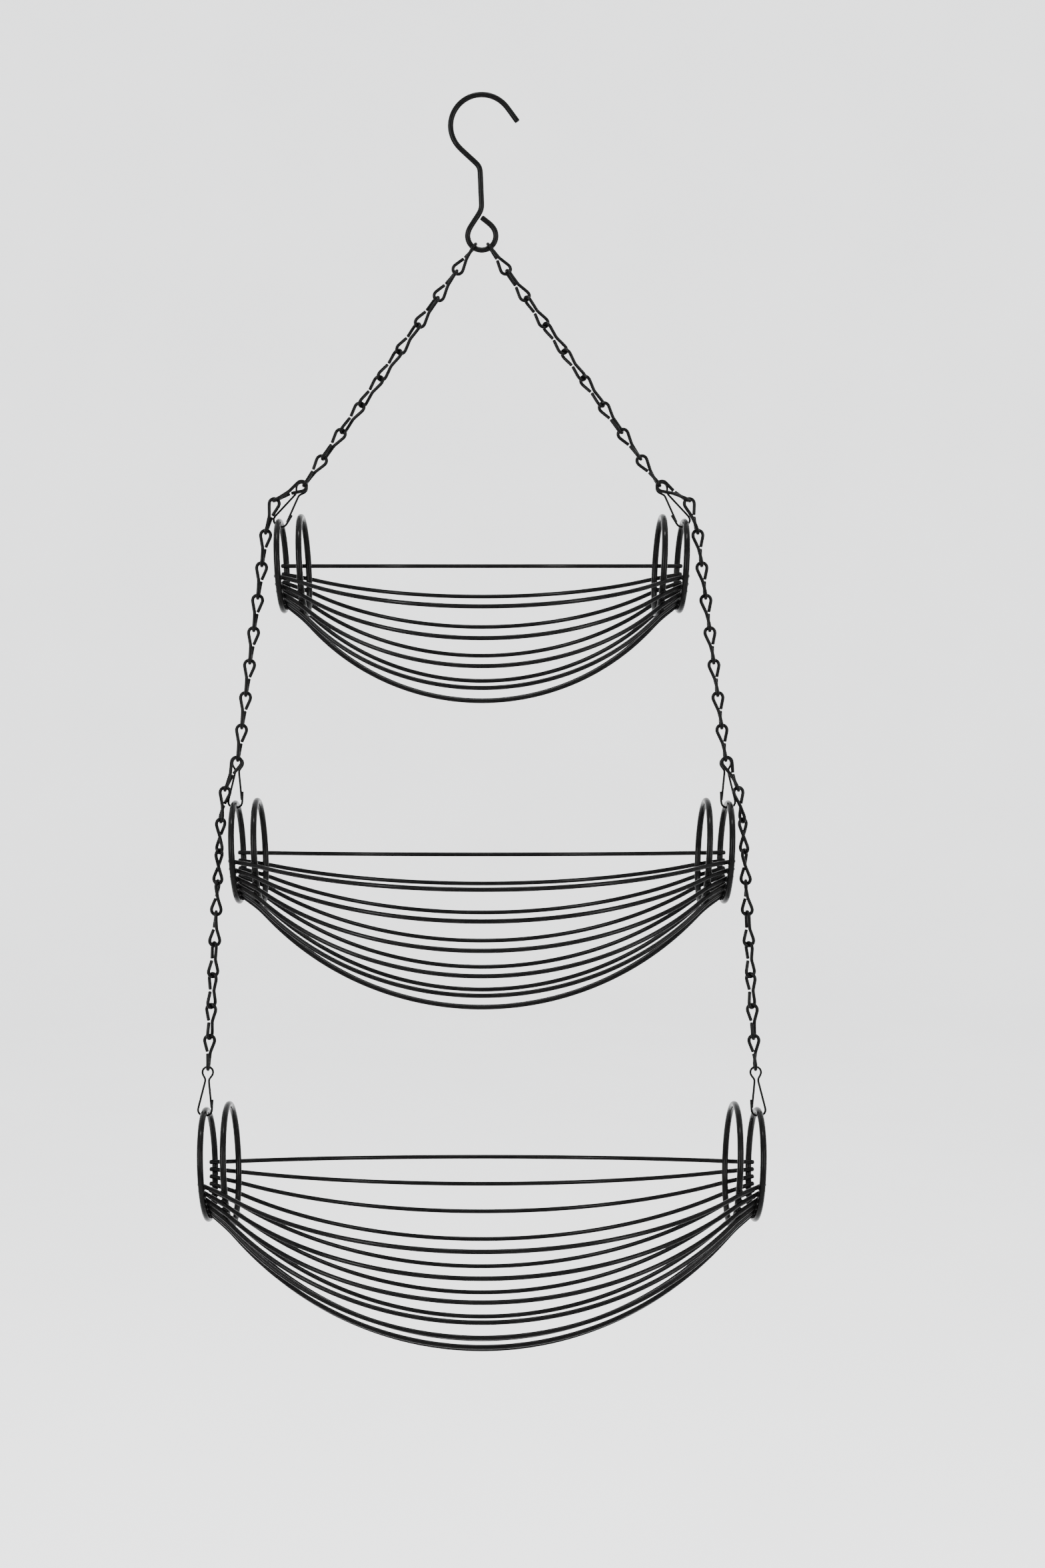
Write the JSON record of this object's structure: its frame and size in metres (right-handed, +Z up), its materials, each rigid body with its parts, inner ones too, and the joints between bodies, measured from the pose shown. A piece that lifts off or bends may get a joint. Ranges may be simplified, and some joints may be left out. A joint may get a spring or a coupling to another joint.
{
  "type": "wire produce basket",
  "caption": "Tiered hanging produce basket: bowed-wire baskets clipped between two jack chains that meet in the eye of one hanging hook.",
  "frame": {"origin": "inner top of the hook's bend, the point that rests on what the basket hangs from", "axes": "+Z up, +X to the right along the baskets' length with the hook's mouth towards +X, +Y to the back"},
  "size_m": [0.3636, 0.2212, 0.7968],
  "materials": {
    "hook_coat": "gloss black coating on thick steel wire",
    "chain_coat": "gloss black coating, pooled thickly where links touch",
    "clip_coat": "semi-gloss black coating on thin spring wire",
    "ring_coat": "gloss black coating on the end rings",
    "wire_coat": "gloss black coating on the bowed wires"
  },
  "bodies": {
    "hook": {"hook": "hook_coat"},
    "top_links": {"top_link_left": "chain_coat", "top_link_right": "chain_coat"},
    "upper_chains": {"upper_chain_left": "chain_coat", "upper_chain_right": "chain_coat"},
    "middle_chains": {"middle_chain_left": "chain_coat", "middle_chain_right": "chain_coat"},
    "lower_chains": {"lower_chain_left": "chain_coat", "lower_chain_right": "chain_coat"},
    "top_clips": {"top_clip_left": "clip_coat", "top_clip_right": "clip_coat"},
    "top_basket": {"top_outer_ring_left": "ring_coat", "top_outer_ring_right": "ring_coat", "top_rim_frame": "wire_coat", "top_wire_01": "wire_coat", "top_wire_02": "wire_coat", "top_wire_03": "wire_coat", "top_wire_04": "wire_coat", "top_wire_05": "wire_coat", "top_wire_06": "wire_coat", "top_wire_07": "wire_coat", "top_wire_08": "wire_coat", "top_wire_09": "wire_coat"},
    "middle_clips": {"middle_clip_left": "clip_coat", "middle_clip_right": "clip_coat"},
    "middle_basket": {"middle_outer_ring_left": "ring_coat", "middle_outer_ring_right": "ring_coat", "middle_rim_frame": "wire_coat", "middle_wire_01": "wire_coat", "middle_wire_02": "wire_coat", "middle_wire_03": "wire_coat", "middle_wire_04": "wire_coat", "middle_wire_05": "wire_coat", "middle_wire_06": "wire_coat", "middle_wire_07": "wire_coat", "middle_wire_08": "wire_coat", "middle_wire_09": "wire_coat", "middle_wire_10": "wire_coat", "middle_wire_11": "wire_coat"},
    "lower_clips": {"lower_clip_left": "clip_coat", "lower_clip_right": "clip_coat"},
    "lower_basket": {"lower_outer_ring_left": "ring_coat", "lower_outer_ring_right": "ring_coat", "lower_rim_frame": "wire_coat", "lower_wire_01": "wire_coat", "lower_wire_02": "wire_coat", "lower_wire_03": "wire_coat", "lower_wire_04": "wire_coat", "lower_wire_05": "wire_coat", "lower_wire_06": "wire_coat", "lower_wire_07": "wire_coat", "lower_wire_08": "wire_coat", "lower_wire_09": "wire_coat", "lower_wire_10": "wire_coat", "lower_wire_11": "wire_coat", "lower_wire_12": "wire_coat", "lower_wire_13": "wire_coat"}
  },
  "joints": [
    {"name": "sideways_sway", "type": "hinge", "parent": "hook", "child": "top_links", "pos_m": [0, 0, -0.0885], "axis": [0, 1, 0], "range_deg": [-12, 12]},
    {"name": "fore_aft_swing", "type": "hinge", "parent": "top_links", "child": "upper_chains", "pos_m": [0, 0, -0.11147], "axis": [1, 0, 0], "range_deg": [-20, 20]},
    {"name": "top_clip_swing", "type": "hinge", "parent": "upper_chains", "child": "top_clips", "pos_m": [0, 0.0011, -0.247], "axis": [1, 0, 0], "range_deg": [-1, 12]},
    {"name": "top_basket_tip", "type": "hinge", "parent": "top_clips", "child": "top_basket", "pos_m": [0, 0.00176, -0.27215], "axis": [1, 0, 0], "range_deg": [-20, 20]},
    {"name": "middle_chain_swing", "type": "hinge", "parent": "upper_chains", "child": "middle_chains", "pos_m": [0, -0.00075, -0.247], "axis": [1, 0, 0], "range_deg": [-8, 1]},
    {"name": "middle_clip_swing", "type": "hinge", "parent": "middle_chains", "child": "middle_clips", "pos_m": [0, 0.0011, -0.422], "axis": [1, 0, 0], "range_deg": [-0.5, 12]},
    {"name": "middle_basket_tip", "type": "hinge", "parent": "middle_clips", "child": "middle_basket", "pos_m": [0, 0.00176, -0.45249], "axis": [1, 0, 0], "range_deg": [-20, 20]},
    {"name": "lower_chain_swing", "type": "hinge", "parent": "middle_chains", "child": "lower_chains", "pos_m": [0, -0.00075, -0.422], "axis": [1, 0, 0], "range_deg": [-12, 0.5]},
    {"name": "lower_clip_swing", "type": "hinge", "parent": "lower_chains", "child": "lower_clips", "pos_m": [0, 0, -0.619], "axis": [1, 0, 0], "range_deg": [-12, 12]},
    {"name": "lower_basket_tip", "type": "hinge", "parent": "lower_clips", "child": "lower_basket", "pos_m": [0, 0, -0.64879], "axis": [1, 0, 0], "range_deg": [-20, 20]}
  ]
}
